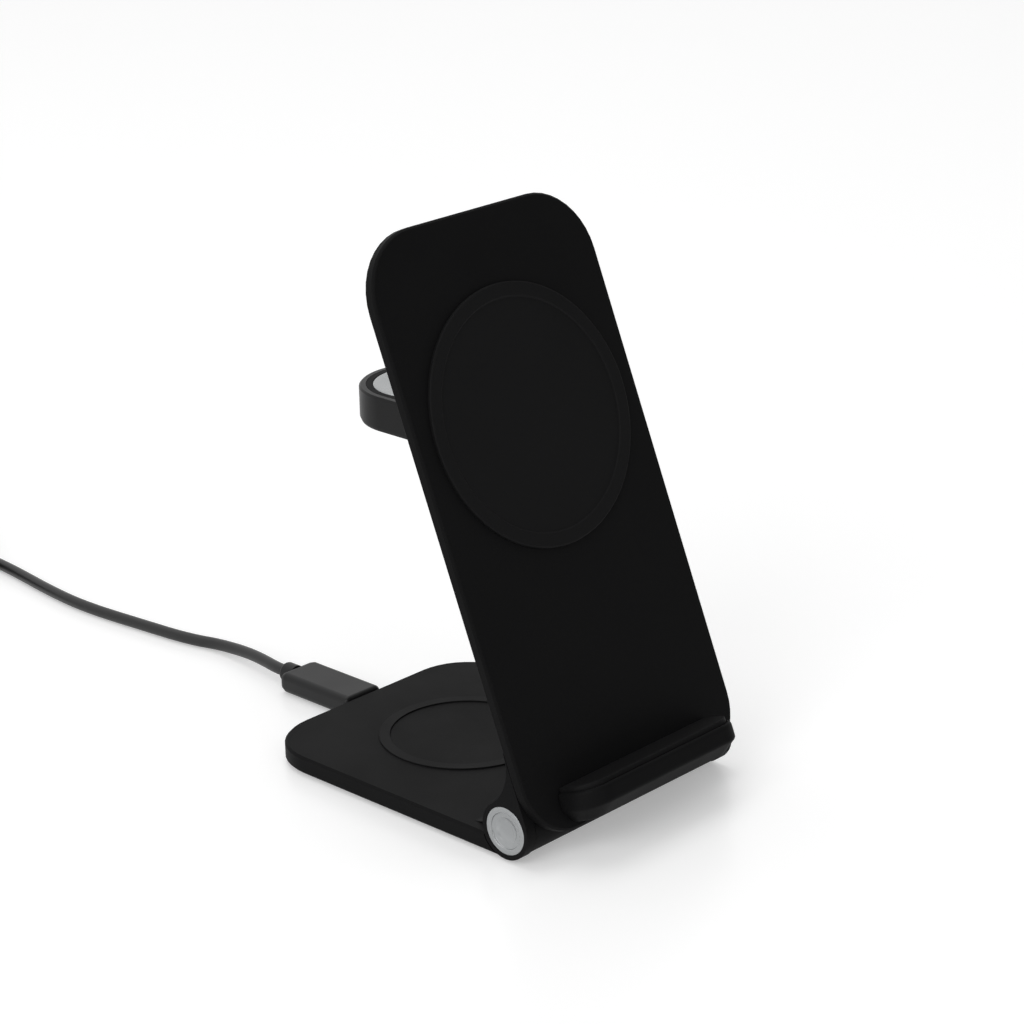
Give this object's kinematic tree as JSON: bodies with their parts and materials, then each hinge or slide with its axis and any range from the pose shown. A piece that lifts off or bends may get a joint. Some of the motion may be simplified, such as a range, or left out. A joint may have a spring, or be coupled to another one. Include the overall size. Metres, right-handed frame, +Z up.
{
  "type": "three-in-one charger",
  "caption": "Folding desk charger: leaning phone panel with a shelf, flat base for an earbud case, swinging arm for a watch, and a plugged-in cord.",
  "frame": {"origin": "on the floor below the middle of the charger's box, measured without the cord and its plugs", "axes": "+Z up, +Y to the rear where the cord leaves, +X to the right along the hinge, seen from the phone's side"},
  "size_m": [0.081, 0.2671, 0.1241],
  "materials": {
    "matte_black": "fine matt moulded plastic",
    "satin_dark": "satin moulded plastic",
    "silicone": "soft matt silicone",
    "cap_grey": "satin light grey plastic",
    "copper_wire": "wound enamelled wire",
    "shield_plate": "dull pressed ferrite",
    "circuit_board": "green solder mask",
    "chip_black": "dull moulded resin",
    "screw_steel": "plated",
    "shaft_steel": "turned",
    "plug_metal": "plated sheet",
    "plug_black": "moulded, fine matt",
    "cord_black": "smooth satin jacket",
    "tie_fabric": "hook-and-loop tape"
  },
  "bodies": {
    "base": {"base_tray": "matte_black", "base_bottom_cover": "matte_black", "base_screws": "screw_steel", "base_feet": "silicone", "earbud_ring": "silicone", "earbud_coil": "copper_wire", "earbud_shield": "shield_plate", "base_board": "circuit_board", "base_board_chips": "chip_black", "usb_socket": "plug_metal", "usb_socket_tongue": "chip_black", "hinge_sleeve_left": "shaft_steel", "hinge_sleeve_right": "shaft_steel", "plug_shell": "plug_metal", "plug_grip": "plug_black", "strain_relief": "plug_black", "cord": "cord_black", "cord_coil": "cord_black", "cord_tie": "tie_fabric", "cord_tail": "cord_black", "far_strain_relief": "plug_black", "far_plug_grip": "plug_black", "far_plug_shell": "plug_metal"},
    "panel": {"panel_frame": "matte_black", "panel_rear_cover": "satin_dark", "panel_screws": "screw_steel", "phone_pad": "silicone", "phone_coil": "copper_wire", "phone_shield": "shield_plate", "panel_board": "circuit_board", "panel_board_chips": "chip_black", "phone_ledge": "matte_black", "ledge_pad": "silicone", "ledge_screws": "screw_steel", "hinge_shaft_left": "shaft_steel", "hinge_shaft_right": "shaft_steel", "hinge_cap_left": "cap_grey", "hinge_cap_right": "cap_grey", "arm_pin": "shaft_steel"},
    "arm": {"arm_shell": "satin_dark", "arm_top_cover": "matte_black", "watch_disc": "cap_grey", "watch_coil": "copper_wire", "watch_shield": "shield_plate", "watch_magnet": "shaft_steel", "arm_board": "circuit_board", "arm_board_chips": "chip_black", "arm_screws": "screw_steel"}
  },
  "joints": [
    {"name": "panel_hinge", "type": "hinge", "parent": "base", "child": "panel", "pos_m": [0, -0.02883, 0.00695], "axis": [-1, 0, 0], "range_deg": [0, 45]},
    {"name": "arm_fold", "type": "hinge", "parent": "panel", "child": "arm", "pos_m": [0, 0.00337, 0.08012], "axis": [1, 0, 0], "range_deg": [0, 68]}
  ]
}
